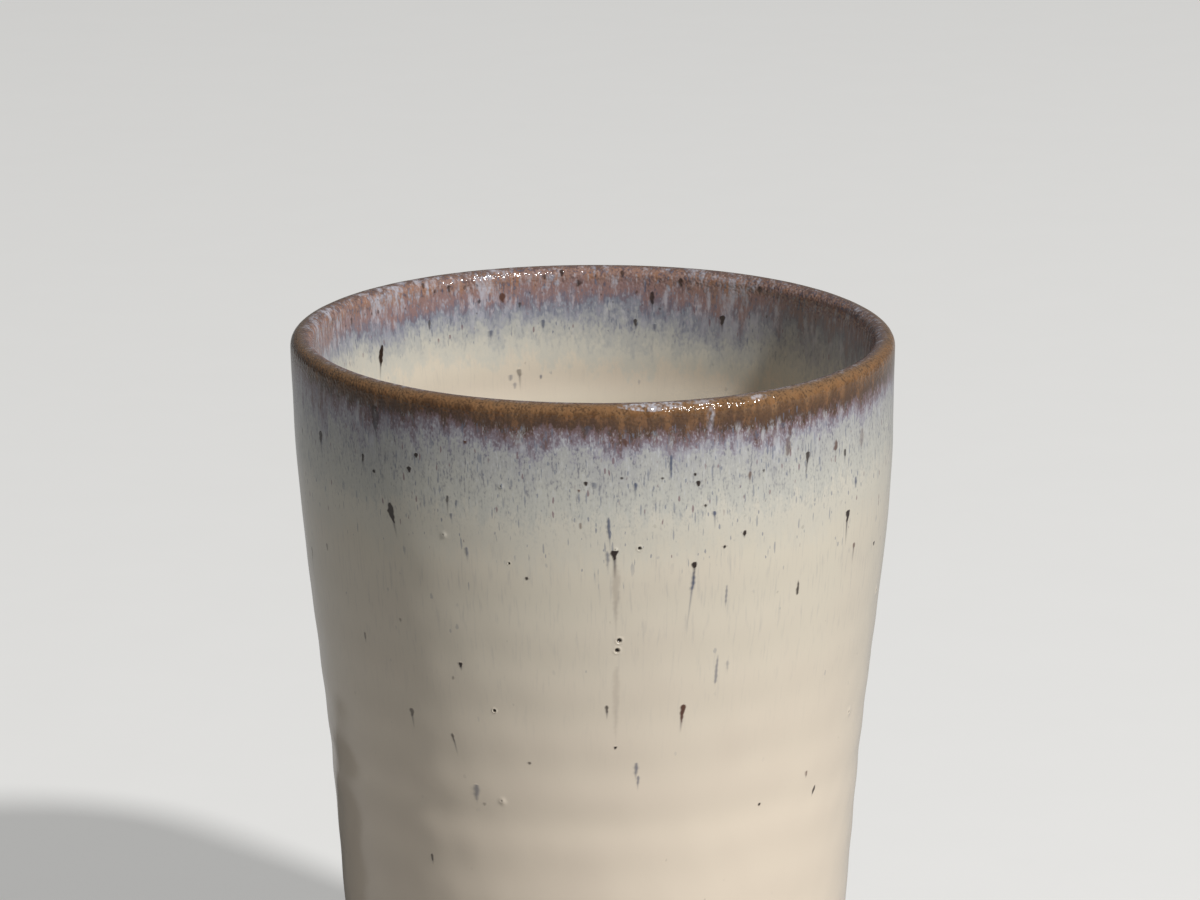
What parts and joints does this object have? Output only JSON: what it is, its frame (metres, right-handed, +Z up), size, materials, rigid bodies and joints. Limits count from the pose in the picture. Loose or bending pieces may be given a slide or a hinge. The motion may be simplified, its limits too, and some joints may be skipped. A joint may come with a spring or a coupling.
{
  "type": "beer cup",
  "caption": "Handleless hand-thrown stoneware beer cup with a gently tapered wall, turned foot ring, cream glaze inside and out, and a brown rim glaze that breaks to blue-white streaks.",
  "frame": {"origin": "on the cup's axis, on the plane the foot ring stands on", "axes": "+Z up along the cup's axis towards the mouth; the cup is round about Z, and -Y is the side towards the camera in the picture"},
  "size_m": [0.088, 0.088, 0.122],
  "materials": {
    "stoneware": "bare fired clay, matt, turned",
    "cream_glaze": "glossy cream glaze with iron spots",
    "rim_glaze": "satin brown glaze breaking to blue-white streaks"
  },
  "bodies": {
    "root": {"clay_body": "stoneware", "outer_glaze": "cream_glaze", "liner_glaze": "cream_glaze", "rim_glaze": "rim_glaze"}
  },
  "joints": []
}
